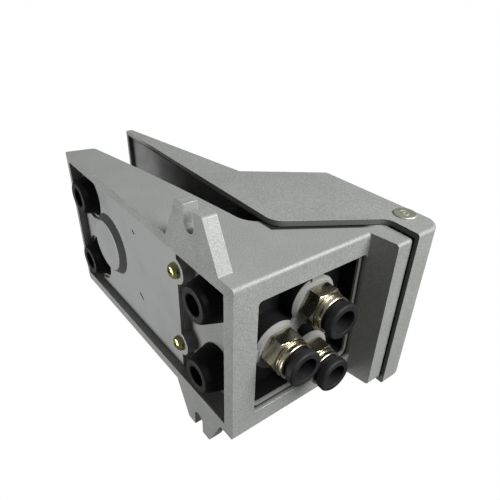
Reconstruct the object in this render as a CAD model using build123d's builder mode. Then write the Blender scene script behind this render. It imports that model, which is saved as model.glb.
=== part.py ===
"""Foot pedal air valve: a die cast base with a hinged pedal over a piloted spool valve.

Units are millimetres. +X points at the toe of the pedal, +Z is up and +Y is the left flank seen
from the rear. The origin is the middle of the floor area that the valve covers, at the bottom of
the rubber feet. Heights are measured from the rim of the casting and lengths from its rear face,
so each sketch plane below starts from that rear edge of the rim.
"""

from build123d import *
from math import atan2, cos, degrees, hypot, radians, sin
import os

# Overall sizes
base_length = 151.0
base_width = 80.0
pedal_back = 15.5
pedal_nose = 157.7
overall_length = pedal_back + pedal_nose
foot_proud = 2.5

# Fits and gaps
running_fit = 0.05
loose_fit = 0.3
pedal_side_gap = 0.4

# Base casting
toe_height = 15.0
toe_lean = 2.4
toe_radius = 3.0
deck_rear_height = 33.0
deck_rear_x = 41.0
deck_bow = 1.1
box_depth = 33.0
box_corner_radius = 12.0
hood_reach = 13.2
hood_rise = 2.0
corner_radius = 1.5
rim_side = 5.2
rim_rear = 6.0
rim_toe = 2.4
shelf_width = 3.0
deck_wall = 3.0
plate_step = 46.0
floor_height = 11.2
floor_wall = 2.0
chamber_width = 60.0
chamber_height = 58.8
roof_thickness = 10.5
base_height = floor_height + chamber_height + roof_thickness
chamber_corner = 2.0
box_wall = 3.5

# Mounting ears with open slots
ear_thickness = 6.2
ear_x = 27.7
ear_root = 37.0
ear_tip = 18.0
ear_reach = 19.2
slot_width = 6.6
slot_depth = 10.2

# Rubber feet
foot_x_rear = 24.0
foot_x_toe = 137.0
foot_spacing = 39.0
foot_mouth_radius = 8.5
foot_root_radius = 11.4
foot_bore_radius = 4.6
foot_web = 3.5
foot_edge_radius = 1.0

# Bottom cover plate
plate_thickness = 1.5
plate_recess = 4.0
plate_gap = 0.4
plate_screw_x = 47.8
plate_screw_spacing = 40.8
plate_lobe_radius = 6.5
plate_foot_relief = 1.6
spring_x = 115.4
cup_radius = 16.8
cup_depth = 3.0
cup_draft = 45.0
cup_corner = 1.0
locating_slot_width = 1.4
locating_slot_turn = 38.0
short_slot = {"x": 86.6, "y": 20.7, "length": 2.6}
long_slot = {"x": 85.5, "y": -16.4, "length": 4.8}

# Screws: thread radius, head radius, head height, length under the head
plate_screw = {"thread": 2.0, "head": 3.9, "height": 2.8, "length": 4.9}
foot_screw = {"thread": 2.0, "head": 3.8, "height": 2.8, "length": 6.3}
block_screw = {"thread": 2.0, "head": 3.6, "height": 2.6, "length": 25.0}
block_screw_inset = 4.8
head_round = 0.33
washer_thickness = 0.8
recess_depth = 1.0
recess_width = 0.9

# Hinge
hinge_x = 0.0
pin_radius = 2.5
pin_head_radius = 5.2
pin_head_height = 0.6
pin_tail = 1.9
clip_groove = 0.5
clip_thickness = 0.8
clip_radius = 4.6
lug_radius = 4.1
lug_width = 9.0
lug_spread = 62.0
lug_foot = 24.0
lug_gap = 0.48
pedal_boss_radius = 5.6

# Pedal shell
pedal_wall = 2.6
crown_wall = 2.0
pedal_nose_low = 37.5
pedal_nose_top = 41.3
pad_rear_x = 76.7
pad_rear_height = 58.5
ramp_top_x = 52.2
ramp_top_height = base_height + 14.3
crown_rear_height = base_height + 17.9
crown_radius = 8.0
edge_radius = 1.4
skirt_height = 38.7
skirt_foot_x = 26.5
skirt_rear_x = 1.0
skirt_foot_radius = 9.0
skirt_rear_radius = 6.0
hood_gap = 0.8
tread_count = 9
tread_pitch = 6.0
tread_width = 2.4
tread_height = 0.7
tread_length = 64.0
tread_start = 150.0

# Pedal actuator
spool_x = 20.6
actuator_boss_radius = 6.0
actuator_boss_drop = 5.0
actuator_thread = 3.0
actuator_tip = base_height + 3.7
nut_flats = 10.0
nut_height = 3.2
hexagon = 6

# Pedal return spring
spring_radius = 8.0
spring_wire = 1.1
spring_turns = 7.0
wire_facets = 6
spigot_radius = 5.6
spigot_drop = 7.0
deck_hole_radius = 12.0

# Stop buffers
buffer_x = 130.0
buffer_spacing = 44.0
buffer_radius = 5.5
buffer_height = 5.2
buffer_stem = 2.4

# Valve block
block_set_back = 2.4
block_gap = 0.3
block_wall = 1.6
block_corner = 4.0
cup_floor = 9.6
port_spread = chamber_width / 2
port_height = floor_height + 32.2
supply_height = floor_height + 13.4
port_boss_radius = 11.8
boss_proud = 0.4
boss_chamfer = 1.5
port_passage_radius = 4.0
gallery_radius = 2.2
gallery_shift = 7.0
spool_bore_radius = 6.0
web_width = 6.0
link_width = 7.0

# Spool and its closures
spool_land_radius = 5.9
spool_neck_radius = 3.6
spool_land = 4.6
spool_count = 5
seal_wire = 0.9
seal_facets = 8
stem_radius = 3.5
button_radius = 4.6
button_height = 2.6
button_gap = 0.3
button_round = 0.6
gland_height = 7.0
gland_flange = 8.2
gland_flange_height = 2.5
plug_height = 5.0
block_spring_radius = 4.0
block_spring_wire = 0.6
block_spring_turns = 5.0
spool_travel = 2.5

# Push-in fittings, measured outwards from the port boss
shank_radius = 6.5
shank_length = 9.0
hex_flats = 17.0
hex_height = 7.5
barrel_radius = 8.4
barrel_end = 11.5
groove_width = 0.9
groove_depth = 0.7
groove_pitch = 1.8
tube_radius = 5.1
socket_depth = 5.0
bore_radius = 4.0
seal_seat = 0.6
seal_height = 1.6
grip_start = 2.6
grip_height = 1.0
pocket_radius = 6.9
collar_radius = 9.0
collar_face = 17.0
collar_travel = 1.2
collar_bore = 5.3
collar_sleeve_radius = 6.6
collar_sleeve_start = 5.0
collar_edge = 0.8

# Places worked out from the sizes above
rear_x = pedal_back - overall_length / 2
rim_z = foot_proud
half_width = base_width / 2
recess_half = half_width - rim_side
pedal_half_inner = half_width + pedal_side_gap
pedal_half = pedal_half_inner + pedal_wall
floor_low = floor_height - floor_wall
plate_top = plate_recess + plate_thickness
chamber_top = floor_height + chamber_height
chamber_depth = box_depth - box_wall
foot_y = foot_spacing / 2
port_y = port_spread / 2
toe_inner = base_length - rim_toe
toe_top_x = base_length - toe_lean
deck_run = toe_top_x - deck_rear_x
deck_middle_x = deck_rear_x + deck_run / 2
block_screw_spread = chamber_width - 2 * block_screw_inset
foot_spots = [(x, side * foot_y) for x in (foot_x_rear, foot_x_toe) for side in (1, -1)]
block_screw_spots = [(side * block_screw_spread / 2, port_height) for side in (1, -1)]
plate_screw_spots = [(plate_screw_x, side * plate_screw_spacing / 2) for side in (1, -1)]
crown_slope = (crown_rear_height - ramp_top_height) / (ramp_top_x + pedal_back)
crown_at_hinge = ramp_top_height + (ramp_top_x - hinge_x) * crown_slope
hinge_height = crown_at_hinge - crown_wall - lug_gap - lug_radius

os.makedirs("parts", exist_ok=True)


def at(x, y, z):
    """Return a point given from the rear edge of the casting's rim."""
    return (rear_x + x, y, rim_z + z)


def side_plane(y=0.0):
    """Return the plane of a side profile, drawn as length and height."""
    return Plane(origin=at(0, y, 0), x_dir=(1, 0, 0), z_dir=(0, -1, 0))


def floor_plane(height=0.0):
    """Return a level plane, drawn as length and width."""
    return Plane(origin=at(0, 0, height))


def cross_plane(x=0.0):
    """Return a plane across the valve that faces the toe, drawn as width and height."""
    return Plane(origin=at(x, 0, 0), x_dir=(0, 1, 0), z_dir=(1, 0, 0))


def rear_plane(x, y=0.0, z=0.0):
    """Return a plane across the valve that faces the rear."""
    return Plane(origin=at(x, y, z), x_dir=(0, -1, 0), z_dir=(-1, 0, 0))


def deck_height(x):
    """Return the height of the bowed front deck at a length from the rear face."""
    share = (x - deck_rear_x) / deck_run
    straight = deck_rear_height - share * (deck_rear_height - toe_height)
    return straight + 4 * deck_bow * share * (1 - share)


def finish(builder, name):
    """Label a finished piece and write its file."""
    builder.part.label = name
    export_step(builder.part, f"parts/{name}.step")


# Base casting
with BuildPart() as base_casting:
    with BuildSketch(side_plane()) as side_outline:
        with BuildLine():
            Polyline(
                (toe_top_x, toe_height),
                (base_length, 0),
                (0, 0),
                (0, chamber_top),
                (-hood_reach, chamber_top + hood_rise),
                (-hood_reach, base_height),
                (box_depth, base_height),
                (box_depth, deck_height(box_depth)),
            )
            ThreePointArc(
                (box_depth, deck_height(box_depth)),
                (deck_middle_x, deck_height(deck_middle_x)),
                (toe_top_x, toe_height),
            )
        make_face()
        toe_corner = side_outline.vertices().sort_by_distance((toe_top_x, toe_height))[0]
        fillet(toe_corner, toe_radius)
        box_foot = side_outline.vertices().sort_by_distance((box_depth, deck_height(box_depth)))[0]
        fillet(box_foot, box_corner_radius)
    extrude(amount=half_width, both=True)
    fillet(base_casting.edges().filter_by(Axis.Z), corner_radius)

    # Hinge lugs on the box
    for side in (1, -1):
        with BuildSketch(side_plane(side * lug_spread / 2)):
            with BuildLine():
                Polyline(
                    (hinge_x - lug_foot / 2, base_height),
                    (hinge_x + lug_foot / 2, base_height),
                    (hinge_x + lug_radius, hinge_height),
                    (hinge_x - lug_radius, hinge_height),
                    close=True,
                )
            make_face()
            with Locations((hinge_x, hinge_height)):
                Circle(lug_radius)
        extrude(amount=lug_width / 2, both=True)

    # Ears
    with BuildSketch(floor_plane()) as ear:
        with BuildLine():
            Polyline(
                (ear_x - ear_root / 2, half_width - rim_side / 2),
                (ear_x - ear_root / 2, half_width),
                (ear_x - ear_tip / 2, half_width + ear_reach),
                (ear_x + ear_tip / 2, half_width + ear_reach),
                (ear_x + ear_root / 2, half_width),
                (ear_x + ear_root / 2, half_width - rim_side / 2),
                close=True,
            )
        make_face()
        fillet(ear.vertices().sort_by(Axis.Y)[-2:], corner_radius)
        with Locations((ear_x, half_width + ear_reach - slot_depth + slot_width / 2)):
            Circle(slot_width / 2, mode=Mode.SUBTRACT)
        with Locations((ear_x, half_width + ear_reach)):
            Rectangle(slot_width, 2 * slot_depth - slot_width, mode=Mode.SUBTRACT)
        mirror(about=Plane(origin=at(0, 0, 0), z_dir=(0, 1, 0)))
    extrude(amount=ear_thickness)

    # Valve chamber, open to the rear
    with BuildSketch(cross_plane()) as chamber:
        with Locations((0, floor_height + chamber_height / 2)):
            RectangleRounded(chamber_width, chamber_height, chamber_corner)
    extrude(amount=chamber_depth, mode=Mode.SUBTRACT)

    # Rear recess for the rear feet
    with BuildSketch(floor_plane()) as rear_recess:
        with Locations(((rim_rear + plate_step) / 2, 0)):
            Rectangle(plate_step - rim_rear, 2 * recess_half)
    extrude(amount=floor_low, mode=Mode.SUBTRACT)

    # Recess and shelf for the cover plate
    with BuildSketch(floor_plane()) as plate_seat:
        with Locations(((plate_step + toe_inner) / 2, 0)):
            Rectangle(toe_inner - plate_step, 2 * recess_half)
        with Locations(*plate_screw_spots):
            Circle(plate_lobe_radius + plate_gap)
    extrude(amount=plate_top, mode=Mode.SUBTRACT)
    with BuildSketch(floor_plane(plate_top)) as lobe_bosses:
        with Locations(*plate_screw_spots):
            Circle(plate_lobe_radius)
    extrude(amount=floor_low - plate_top)

    # Pockets for the toe feet
    with BuildSketch(floor_plane()) as toe_pockets:
        with Locations((foot_x_toe, foot_y), (foot_x_toe, -foot_y)):
            Circle(foot_root_radius + loose_fit)
    extrude(amount=floor_low, mode=Mode.SUBTRACT)

    # Hollow above the cover plate
    hollow_front = foot_x_toe - foot_root_radius - deck_wall
    hollow_rear = plate_screw_x + plate_lobe_radius
    with BuildSketch(side_plane()) as hollow_outline:
        with BuildLine():
            Polyline(
                (box_depth, floor_height),
                (hollow_rear, floor_height),
                (hollow_rear, plate_top),
                (hollow_front, plate_top),
                (hollow_front, deck_height(hollow_front) - deck_wall),
                (box_depth + box_corner_radius, deck_height(box_depth + box_corner_radius) - deck_wall),
                (box_depth, deck_height(box_depth) - deck_wall),
                close=True,
            )
        make_face()
    extrude(amount=recess_half - shelf_width, both=True, mode=Mode.SUBTRACT)

    # Deck holes for the return spring and the stop buffers
    with Locations(floor_plane(deck_rear_height)):
        with Locations((spring_x, 0)):
            Hole(deck_hole_radius, depth=deck_rear_height - plate_top)
        with Locations((buffer_x, buffer_spacing / 2), (buffer_x, -buffer_spacing / 2)):
            Hole(buffer_stem, depth=deck_rear_height - plate_top)

    # Spool stem hole in the top of the box
    with Locations(floor_plane(base_height)):
        with Locations((spool_x, 0)):
            Hole(button_radius + loose_fit, depth=base_height - chamber_top)

    # Hinge bore through both lugs
    with BuildSketch(side_plane(lug_spread)) as hinge_bore:
        with Locations((hinge_x, hinge_height)):
            Circle(pin_radius + running_fit)
    extrude(amount=2 * lug_spread, mode=Mode.SUBTRACT)

    # Screw holes for the cover plate, the feet and the valve block
    with BuildSketch(floor_plane(plate_top)) as plate_screw_holes:
        with Locations(*plate_screw_spots):
            Circle(plate_screw["thread"])
    extrude(amount=floor_low - plate_top, mode=Mode.SUBTRACT)
    with BuildSketch(floor_plane(floor_low)) as foot_screw_holes:
        with Locations(*foot_spots):
            Circle(foot_screw["thread"])
    extrude(amount=floor_wall, mode=Mode.SUBTRACT)
    with BuildSketch(cross_plane(chamber_depth)) as block_screw_holes:
        with Locations(*block_screw_spots):
            Circle(block_screw["thread"] + running_fit)
    extrude(amount=box_wall, mode=Mode.SUBTRACT)
    with BuildSketch(cross_plane(box_depth)) as spot_faces:
        with Locations(*block_screw_spots):
            Circle(block_screw["head"] + loose_fit)
    extrude(amount=box_corner_radius, mode=Mode.SUBTRACT)
finish(base_casting, "base_casting")


# Bottom cover plate with its spring cup
toe_corner_run = toe_inner - foot_x_toe
toe_corners = [
    (foot_x_toe + toe_corner_run / 2, side * (half_width + foot_y) / 2) for side in (1, -1)
]
with BuildPart() as bottom_cover:
    with BuildSketch(floor_plane(plate_recess)) as plate_outline:
        with Locations(((plate_step + toe_inner) / 2, 0)):
            Rectangle(toe_inner - plate_step - 2 * plate_gap, 2 * (recess_half - plate_gap))
        with Locations(*plate_screw_spots):
            Circle(plate_lobe_radius)
        with Locations((foot_x_toe, foot_y), (foot_x_toe, -foot_y)):
            Circle(foot_root_radius + plate_foot_relief, mode=Mode.SUBTRACT)
        with Locations(*toe_corners):
            Rectangle(toe_corner_run, half_width - foot_y, mode=Mode.SUBTRACT)
    extrude(amount=plate_thickness)
    with BuildSketch(floor_plane(plate_recess)) as cup_outline:
        with Locations((spring_x, 0)):
            Circle(cup_radius)
    extrude(amount=-cup_depth, taper=cup_draft)
    fillet(bottom_cover.faces().sort_by(Axis.Z)[0].edges(), cup_corner)
    with BuildSketch(floor_plane(plate_top)) as cup_inside:
        with Locations((spring_x, 0)):
            Circle(cup_radius - plate_thickness / 2)
    extrude(amount=-cup_depth, taper=cup_draft, mode=Mode.SUBTRACT)
    with BuildSketch(floor_plane(plate_recess)) as cover_holes:
        with Locations(*plate_screw_spots):
            Circle(plate_screw["thread"] + running_fit)
        for spot in (short_slot, long_slot):
            with Locations((spot["x"], spot["y"])):
                SlotOverall(spot["length"], locating_slot_width, rotation=locating_slot_turn)
    extrude(amount=plate_thickness, mode=Mode.SUBTRACT)
finish(bottom_cover, "bottom_cover")


def pan_screw(sizes, plane, spots):
    """Build pan head screws whose heads stand on the near side of the given plane."""
    with BuildPart() as screws:
        with BuildSketch(plane.offset(-sizes["height"])):
            with Locations(*spots):
                Circle(sizes["head"])
        extrude(amount=sizes["height"])
        outward = Axis(plane.origin, plane.z_dir)
        fillet(screws.faces().group_by(outward)[0].edges(), sizes["height"] * head_round)
        with BuildSketch(plane):
            with Locations(*spots):
                Circle(sizes["thread"] - running_fit)
        extrude(amount=sizes["length"])
        with BuildSketch(plane.offset(-sizes["height"])):
            with Locations(*spots):
                Rectangle(sizes["head"], recess_width)
                Rectangle(recess_width, sizes["head"])
        extrude(amount=recess_depth, mode=Mode.SUBTRACT)
    return screws


cover_screws = pan_screw(plate_screw, floor_plane(plate_recess), plate_screw_spots)
finish(cover_screws, "cover_screws")


# Rubber feet
foot_names = ["foot_rear_left", "foot_rear_right", "foot_toe_left", "foot_toe_right"]
for name, (x, y) in zip(foot_names, foot_spots):
    with BuildPart() as foot:
        with BuildSketch(Plane(origin=at(x, y, 0), x_dir=(1, 0, 0), z_dir=(0, -1, 0))):
            with BuildLine():
                Polyline(
                    (foot_bore_radius, -foot_proud),
                    (foot_mouth_radius, -foot_proud),
                    (foot_root_radius, floor_low),
                    (foot_screw["thread"] + running_fit, floor_low),
                    (foot_screw["thread"] + running_fit, floor_low - foot_web),
                    (foot_bore_radius, floor_low - foot_web),
                    close=True,
                )
            make_face()
        revolve(axis=Axis(at(x, y, 0), (0, 0, 1)))
        mouth_edge = foot.edges().filter_by(GeomType.CIRCLE).group_by(Axis.Z)[0].sort_by(SortBy.RADIUS)[-1:]
        fillet(mouth_edge, foot_edge_radius)
    finish(foot, name)

foot_web_low = floor_low - foot_web
foot_screws = pan_screw(foot_screw, floor_plane(foot_web_low - washer_thickness), foot_spots)
finish(foot_screws, "foot_screws")

with BuildPart() as foot_washers:
    with BuildSketch(floor_plane(foot_web_low - washer_thickness)):
        with Locations(*foot_spots):
            Circle(foot_bore_radius - loose_fit)
            Circle(foot_screw["thread"] + running_fit, mode=Mode.SUBTRACT)
    extrude(amount=washer_thickness)
finish(foot_washers, "foot_washers")


# Pedal shell, drawn as a closed outline carried down past its skirts
crown_corners = [
    (pedal_nose, 0),
    (pedal_nose, pedal_nose_top),
    (pad_rear_x, pad_rear_height),
    (ramp_top_x, ramp_top_height),
    (-pedal_back, crown_rear_height),
    (-pedal_back, 0),
]
pad_slope = (pad_rear_height - pedal_nose_top) / (pedal_nose - pad_rear_x)
crown_inside = ramp_top_height + (ramp_top_x - spool_x) * crown_slope - crown_wall
hood_line = base_height + hood_gap

with BuildPart() as pedal:
    with BuildSketch(side_plane()) as crown:
        with BuildLine():
            Polyline(*crown_corners, close=True)
        make_face()
        rear_corner = crown.vertices().sort_by_distance((-pedal_back, crown_rear_height))[0]
        fillet(rear_corner, crown_radius)
    extrude(amount=pedal_half, both=True)
    top_edges = pedal.faces().group_by(Axis.Y)[0].edges() + pedal.faces().group_by(Axis.Y)[-1].edges()
    fillet(top_edges.filter_by(lambda edge: edge.center().Z > rim_z + edge_radius), edge_radius)
    with BuildSketch(side_plane()) as crown_hollow:
        with BuildLine():
            Polyline(*crown_corners, close=True)
        make_face()
        inside_corner = crown_hollow.vertices().sort_by_distance((-pedal_back, crown_rear_height))[0]
        fillet(inside_corner, crown_radius)
        offset(amount=-crown_wall, mode=Mode.REPLACE)
    extrude(amount=pedal_half_inner, both=True, mode=Mode.SUBTRACT)

    # Hinge bosses, actuator boss, spring spigot and stiffening ribs inside the shell
    for side in (1, -1):
        with BuildSketch(side_plane(side * pedal_half_inner)) as hinge_boss:
            with Locations((hinge_x, hinge_height)):
                Circle(pedal_boss_radius)
        boss_width = pedal_half_inner - lug_spread / 2 - lug_width / 2 - loose_fit
        extrude(amount=side * boss_width)
    with BuildSketch(floor_plane(crown_inside - actuator_boss_drop)):
        with Locations((spool_x, 0)):
            Circle(actuator_boss_radius)
    extrude(amount=actuator_boss_drop + crown_wall / 2)
    spigot_top = pad_rear_height - (spring_x - pad_rear_x) * pad_slope - crown_wall
    with BuildSketch(floor_plane(spigot_top - spigot_drop)):
        with Locations((spring_x, 0)):
            Circle(spigot_radius)
    extrude(amount=spigot_drop + crown_wall / 2)

    # Cut away everything below the skirts
    with BuildSketch(side_plane()) as under_skirt:
        with BuildLine():
            Polyline(
                (-2 * pedal_back, hood_line),
                (skirt_rear_x, hood_line),
                (skirt_foot_x, skirt_height),
                (pedal_nose - 2 * pedal_wall, pedal_nose_low),
                (2 * pedal_nose, pedal_nose_low),
                (2 * pedal_nose, -pedal_nose),
                (-2 * pedal_back, -pedal_nose),
                close=True,
            )
        make_face()
        rear_turn = under_skirt.vertices().sort_by_distance((skirt_rear_x, hood_line))[0]
        fillet(rear_turn, skirt_rear_radius)
        foot_turn = under_skirt.vertices().sort_by_distance((skirt_foot_x, skirt_height))[0]
        fillet(foot_turn, skirt_foot_radius)
    extrude(amount=2 * pedal_half, both=True, mode=Mode.SUBTRACT)

    # Holes for the hinge pin and the actuator screw
    with BuildSketch(side_plane(2 * pedal_half)):
        with Locations((hinge_x, hinge_height)):
            Circle(pin_radius + running_fit)
    extrude(amount=4 * pedal_half, mode=Mode.SUBTRACT)
    with BuildSketch(floor_plane(crown_inside - actuator_boss_drop)):
        with Locations((spool_x, 0)):
            Circle(actuator_thread)
    extrude(amount=actuator_boss_drop, mode=Mode.SUBTRACT)

    # Anti-slip treads across the pad
    pad_angle = degrees(atan2(pad_rear_height - pedal_nose_top, pedal_nose - pad_rear_x))
    pad_plane = Plane(
        origin=at(pedal_nose, 0, pedal_nose_top),
        x_dir=(cos(radians(pad_angle)), 0, -sin(radians(pad_angle))),
        z_dir=(sin(radians(pad_angle)), 0, cos(radians(pad_angle))),
    )
    with BuildSketch(pad_plane):
        for index in range(tread_count):
            with Locations((-(pedal_nose - tread_start) - index * tread_pitch, 0)):
                SlotOverall(tread_length, tread_width, rotation=90)
    extrude(amount=tread_height)
finish(pedal, "pedal")


# Hinge pin and its clip
with BuildPart() as hinge_pin:
    with BuildSketch(side_plane(pedal_half + pin_head_height)):
        with Locations((hinge_x, hinge_height)):
            Circle(pin_head_radius)
    extrude(amount=pin_head_height)
    fillet(hinge_pin.faces().sort_by(Axis.Y)[-1].edges(), pin_head_height / 2)
    with BuildSketch(side_plane(pedal_half)):
        with Locations((hinge_x, hinge_height)):
            Circle(pin_radius)
    extrude(amount=2 * pedal_half + pin_tail)
    with BuildSketch(side_plane(-pedal_half - running_fit)):
        with Locations((hinge_x, hinge_height)):
            Circle(pin_radius + clip_groove)
            Circle(pin_radius - clip_groove, mode=Mode.SUBTRACT)
    extrude(amount=clip_thickness + running_fit, mode=Mode.SUBTRACT)
finish(hinge_pin, "hinge_pin")

with BuildPart() as hinge_clip:
    with BuildSketch(side_plane(-pedal_half - running_fit)):
        with Locations((hinge_x, hinge_height)):
            Circle(clip_radius)
            Circle(pin_radius - clip_groove + running_fit, mode=Mode.SUBTRACT)
        with Locations((hinge_x, hinge_height - clip_radius)):
            Rectangle(2 * (pin_radius - clip_groove), 2 * clip_radius, mode=Mode.SUBTRACT)
    extrude(amount=clip_thickness)
finish(hinge_clip, "hinge_clip")


# Actuator screw with its lock nut in the pedal
with BuildPart() as actuator_screw:
    screw_top = crown_inside - loose_fit
    with BuildSketch(floor_plane(actuator_tip)):
        with Locations((spool_x, 0)):
            Circle(actuator_thread - running_fit)
    extrude(amount=screw_top - actuator_tip)
    fillet(actuator_screw.faces().sort_by(Axis.Z)[0].edges(), actuator_thread * head_round)
finish(actuator_screw, "actuator_screw")

with BuildPart() as actuator_nut:
    nut_low = crown_inside - actuator_boss_drop - nut_height
    with BuildSketch(floor_plane(nut_low)):
        with Locations((spool_x, 0)):
            RegularPolygon(nut_flats / 2, hexagon, major_radius=False)
            Circle(actuator_thread, mode=Mode.SUBTRACT)
    extrude(amount=nut_height)
finish(actuator_nut, "actuator_nut")


def coil_spring(radius, wire, turns, x, low, high):
    """Build a compression spring standing on the level low."""
    with BuildPart() as spring:
        with BuildLine():
            Helix(
                pitch=(high - low - 2 * wire) / turns,
                height=high - low - 2 * wire,
                radius=radius,
                center=at(x, 0, low + wire),
            )
        start = Plane(origin=at(x + radius, 0, low + wire), x_dir=(1, 0, 0), z_dir=(0, 1, 0))
        with BuildSketch(start):
            RegularPolygon(wire, wire_facets)
        sweep(is_frenet=True)
    return spring


cup_inner_floor = plate_top - cup_depth
spring_top = spigot_top - loose_fit - spring_radius * pad_slope
pedal_return_spring = coil_spring(
    spring_radius, spring_wire, spring_turns, spring_x, cup_inner_floor, spring_top
)
finish(pedal_return_spring, "pedal_return_spring")


# Stop buffers on the deck
with BuildPart() as stop_buffers:
    buffer_spots = [(buffer_x, side * buffer_spacing / 2) for side in (1, -1)]
    buffer_seat = deck_height(buffer_x - buffer_radius)
    with BuildSketch(floor_plane(buffer_seat)):
        with Locations(*buffer_spots):
            Circle(buffer_radius)
    extrude(amount=buffer_height)
    fillet(stop_buffers.faces().sort_by(Axis.Z)[-2:].edges(), foot_edge_radius)
    with BuildSketch(floor_plane(buffer_seat)):
        with Locations(*buffer_spots):
            Circle(buffer_stem - running_fit)
    extrude(amount=-deck_wall - (buffer_seat - deck_height(buffer_x + buffer_radius)))
finish(stop_buffers, "stop_buffers")


# Port frame: an open frame with three port bosses, held together by webs
block_low = floor_height + block_gap
block_high = chamber_top - block_gap
block_half = chamber_width / 2 - block_gap
block_middle = (block_low + block_high) / 2
block_tall = block_high - block_low
frame_back = block_set_back + cup_floor
ports = [(port_y, port_height), (0, supply_height), (-port_y, port_height)]
port_face = block_set_back - boss_proud
port_rise = port_height - supply_height
screw_tip = box_depth - block_screw["length"] - loose_fit

with BuildPart() as port_frame:
    with BuildSketch(cross_plane(port_face)):
        with Locations(*ports):
            Circle(port_boss_radius)
    extrude(amount=frame_back - port_face)
    chamfer(port_frame.faces().group_by(Axis.X)[0].edges(), boss_chamfer)
    with BuildSketch(cross_plane(block_set_back)):
        with Locations((0, block_middle)):
            RectangleRounded(2 * block_half, block_tall, block_corner)
            RectangleRounded(
                2 * (block_half - block_wall),
                block_tall - 2 * block_wall,
                block_corner - block_wall,
                mode=Mode.SUBTRACT,
            )
        with Locations((0, (block_low + supply_height) / 2)):
            Rectangle(web_width, supply_height - block_low)
        for side in (1, -1):
            link_angle = degrees(atan2(port_rise, side * port_y))
            with Locations((side * port_y / 2, supply_height + port_rise / 2)):
                Rectangle(hypot(port_y, port_rise), link_width, rotation=link_angle)
            with Locations((side * (port_y + block_half) / 2, port_height)):
                Rectangle(block_half - port_y, web_width)
    extrude(amount=cup_floor)
    with BuildSketch(cross_plane(port_face)):
        with Locations(*ports):
            Circle(shank_radius + running_fit)
    extrude(amount=shank_length + loose_fit, mode=Mode.SUBTRACT)
    with BuildSketch(cross_plane(port_face)):
        with Locations(*ports):
            Circle(port_passage_radius)
    extrude(amount=frame_back - port_face, mode=Mode.SUBTRACT)
    with BuildSketch(cross_plane(screw_tip)):
        with Locations(*block_screw_spots):
            Circle(block_screw["thread"])
    extrude(amount=frame_back - screw_tip, mode=Mode.SUBTRACT)
finish(port_frame, "port_frame")


# Valve block behind the frame, with the spool bore and its galleries
with BuildPart() as valve_block:
    with BuildSketch(cross_plane(frame_back)):
        with Locations((0, block_middle)):
            RectangleRounded(2 * block_half, block_tall, block_corner)
    extrude(amount=chamber_depth - frame_back)
    with BuildSketch(cross_plane(frame_back)):
        with Locations((0, supply_height)):
            Circle(gallery_radius)
    extrude(amount=spool_x - frame_back, mode=Mode.SUBTRACT)
    for side in (1, -1):
        gallery_start = Vector(*at(frame_back, side * port_y, port_height))
        gallery_run = Vector(*at(spool_x, 0, port_height + side * gallery_shift)) - gallery_start
        with BuildSketch(Plane(origin=gallery_start, z_dir=gallery_run)):
            Circle(gallery_radius)
        extrude(amount=gallery_run.length, mode=Mode.SUBTRACT)
    with BuildSketch(floor_plane(block_low)):
        with Locations((spool_x, 0)):
            Circle(spool_bore_radius)
    extrude(amount=block_tall, mode=Mode.SUBTRACT)
    with BuildSketch(cross_plane(frame_back)):
        with Locations(*block_screw_spots):
            Circle(block_screw["thread"] + running_fit)
    extrude(amount=chamber_depth - frame_back, mode=Mode.SUBTRACT)
finish(valve_block, "valve_block")

block_screws = pan_screw(block_screw, rear_plane(box_depth), block_screw_spots)
finish(block_screws, "block_screws")


# Spool with its stem and button
button_top = actuator_tip - button_gap
gland_low = block_high - gland_height
plug_top = block_low + plug_height
spool_low = plug_top + 2 * spool_travel + 2 * block_spring_wire
spool_high = gland_low - loose_fit
land_pitch = (spool_high - spool_low - spool_land) / (spool_count - 1)

with BuildPart() as valve_spool:
    with BuildSketch(floor_plane(spool_low)):
        with Locations((spool_x, 0)):
            Circle(spool_neck_radius)
    extrude(amount=spool_high - spool_low)
    for index in range(spool_count):
        land_low = spool_low + index * land_pitch
        with BuildSketch(floor_plane(land_low)):
            with Locations((spool_x, 0)):
                Circle(spool_land_radius)
        extrude(amount=spool_land)
        with BuildSketch(floor_plane(land_low + spool_land / 2 - seal_wire)):
            with Locations((spool_x, 0)):
                Circle(spool_land_radius + running_fit)
                Circle(spool_land_radius - 2 * seal_wire, mode=Mode.SUBTRACT)
        extrude(amount=2 * seal_wire, mode=Mode.SUBTRACT)
    with BuildSketch(floor_plane(spool_high)):
        with Locations((spool_x, 0)):
            Circle(stem_radius)
    extrude(amount=button_top - button_height - spool_high)
    with BuildSketch(floor_plane(button_top - button_height)):
        with Locations((spool_x, 0)):
            Circle(button_radius)
    extrude(amount=button_height)
    fillet(valve_spool.faces().sort_by(Axis.Z)[-1].edges(), button_round)
finish(valve_spool, "valve_spool")

with BuildPart() as spool_seals:
    for index in range(spool_count):
        seal_middle = spool_low + index * land_pitch + spool_land / 2
        with BuildSketch(Plane(origin=at(spool_x, 0, seal_middle), x_dir=(1, 0, 0), z_dir=(0, -1, 0))):
            with Locations((spool_bore_radius - running_fit - seal_wire, 0)):
                RegularPolygon(seal_wire, seal_facets)
        revolve(axis=Axis(at(spool_x, 0, seal_middle), (0, 0, 1)))
finish(spool_seals, "spool_seals")

with BuildPart() as spool_gland:
    with BuildSketch(floor_plane(gland_low)):
        with Locations((spool_x, 0)):
            Circle(spool_bore_radius - running_fit)
            Circle(stem_radius + running_fit, mode=Mode.SUBTRACT)
    extrude(amount=gland_height)
finish(spool_gland, "spool_gland")

with BuildPart() as spool_plug:
    with BuildSketch(floor_plane(block_low)):
        with Locations((spool_x, 0)):
            Circle(spool_bore_radius - running_fit)
    extrude(amount=plug_height)
finish(spool_plug, "spool_plug")

spool_spring = coil_spring(
    block_spring_radius, block_spring_wire, block_spring_turns, spool_x, plug_top, spool_low
)
finish(spool_spring, "spool_spring")


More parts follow.
